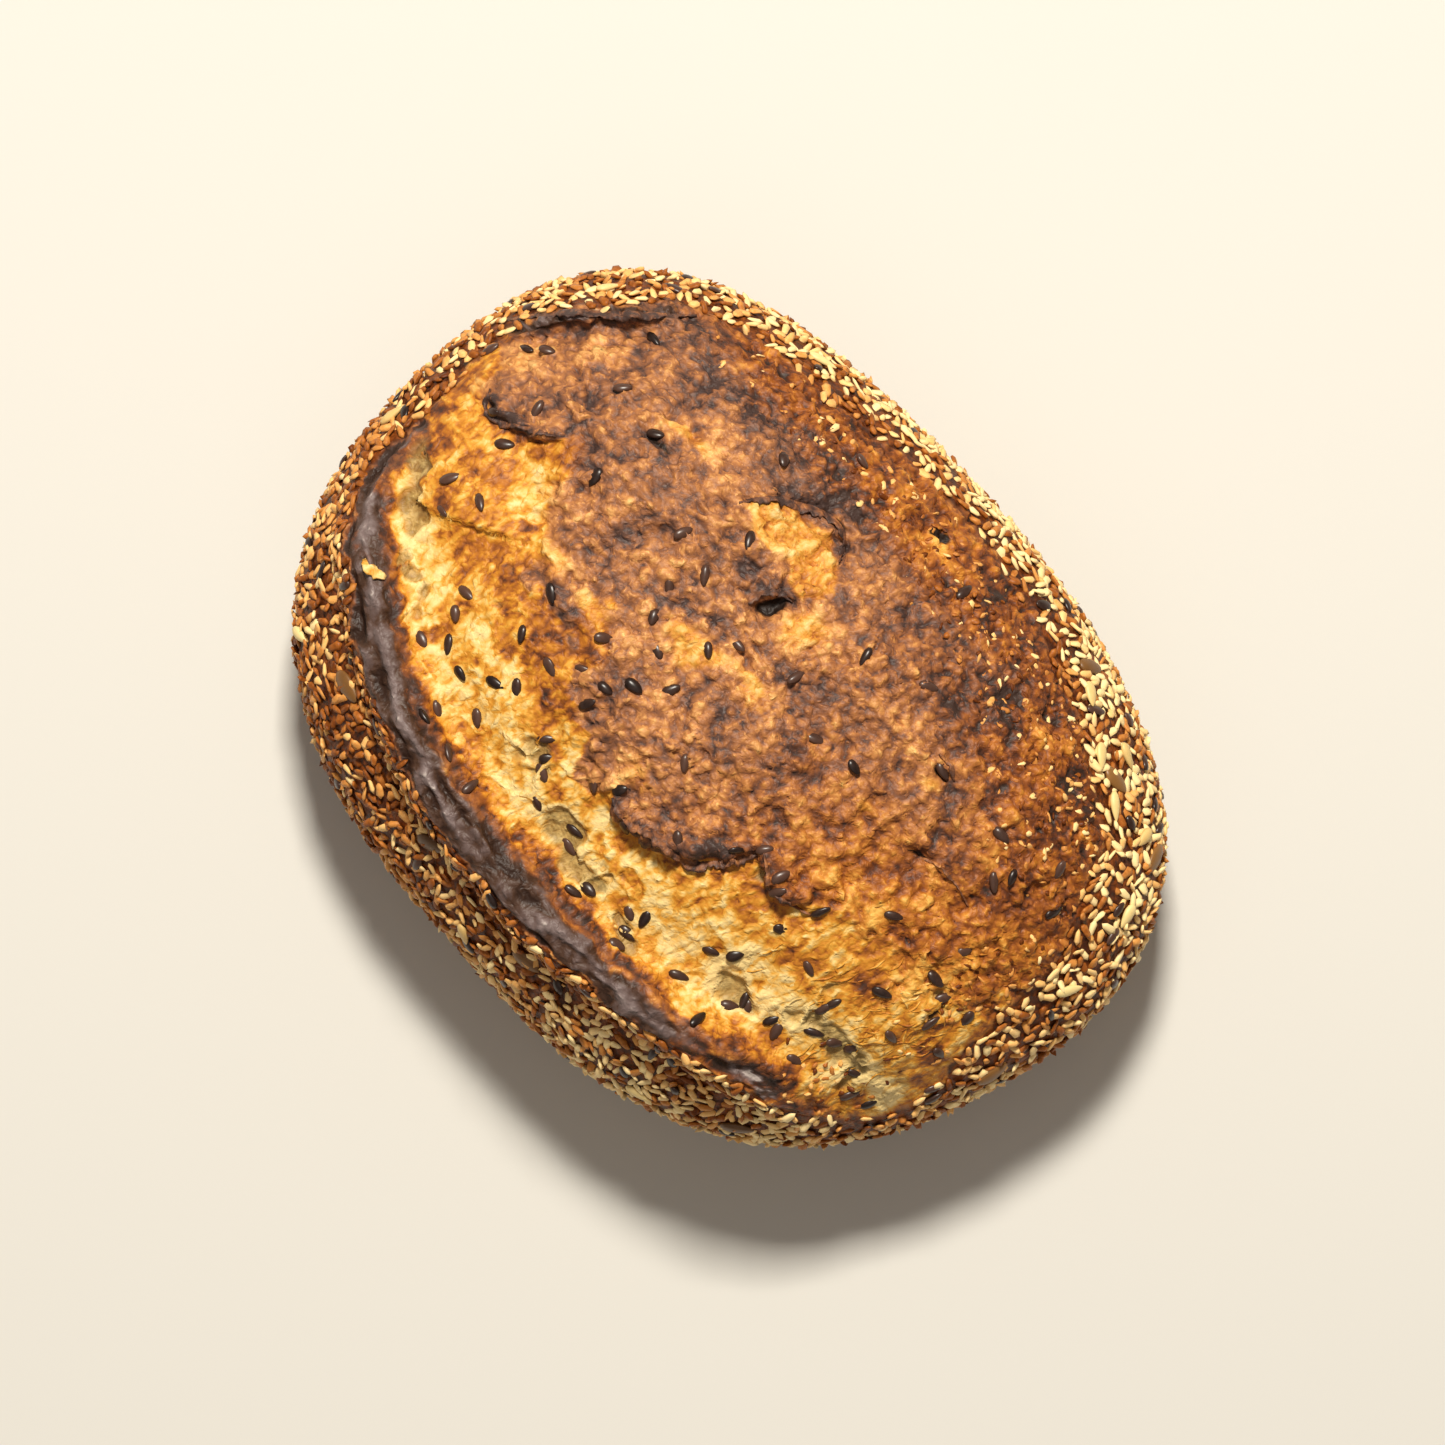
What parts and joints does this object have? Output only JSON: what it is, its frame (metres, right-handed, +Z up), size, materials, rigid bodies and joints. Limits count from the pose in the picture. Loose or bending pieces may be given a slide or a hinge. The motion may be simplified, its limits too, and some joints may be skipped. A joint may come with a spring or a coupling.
{
  "type": "seeded sourdough loaf",
  "caption": "Oval seeded sourdough loaf, baked dark, with a raised burnt ear along one side and a torn, blistered crust.",
  "frame": {"origin": "middle of the loaf's box at the height of the surface it rests on", "axes": "+X along the loaf's length, +Y across it and away from the ear, +Z up"},
  "size_m": [0.2272, 0.171, 0.0949],
  "materials": {
    "crust": "dry, matt baked crust with seeds, glossy only on the ear"
  },
  "bodies": {
    "root": {"loaf": "crust"}
  },
  "joints": []
}
